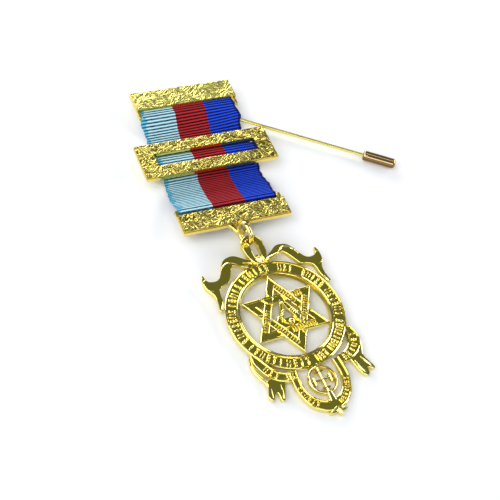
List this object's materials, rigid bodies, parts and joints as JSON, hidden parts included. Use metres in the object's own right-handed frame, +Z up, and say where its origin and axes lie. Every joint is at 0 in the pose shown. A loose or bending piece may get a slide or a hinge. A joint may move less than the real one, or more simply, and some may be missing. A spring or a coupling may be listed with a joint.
{
  "type": "masonic jewel",
  "caption": "Breast jewel laid flat: pierced cast ring-and-star pendant on a jump ring under a ribbon that rides over cast bars, with a slide bar, a long stick pin and its clutch.",
  "frame": {"origin": "on the surface it lies on, under the middle of its bounding box", "axes": "+X along the bars towards the clutch, +Y up the jewel from the pendant to the brooch bar, +Z up out of the surface through the faces"},
  "size_m": [0.0822, 0.1194, 0.0079],
  "materials": {
    "gilt_bars": "bright cast gilt with polished side walls",
    "gilt_casting": "cast gilt, polished rims over darker sunk fields",
    "gilt_wire": "polished drawn wire",
    "clutch_metal": "turned and polished, copper-toned gold",
    "ribbon_silk": "corded silk in three equal stripes"
  },
  "bodies": {
    "jewel": {"brooch_bar": "gilt_bars", "ribbon": "ribbon_silk", "slide_bar": "gilt_bars", "lower_bar": "gilt_bars", "jump_ring": "gilt_wire", "pendant": "gilt_casting"},
    "clutch": {"pin_clutch": "clutch_metal"}
  },
  "joints": [
    {"name": "clutch_slide", "type": "slide", "parent": "jewel", "child": "clutch", "axis": [0.829, -0.5592, 0], "range_m": [0, 0.0075]}
  ]
}
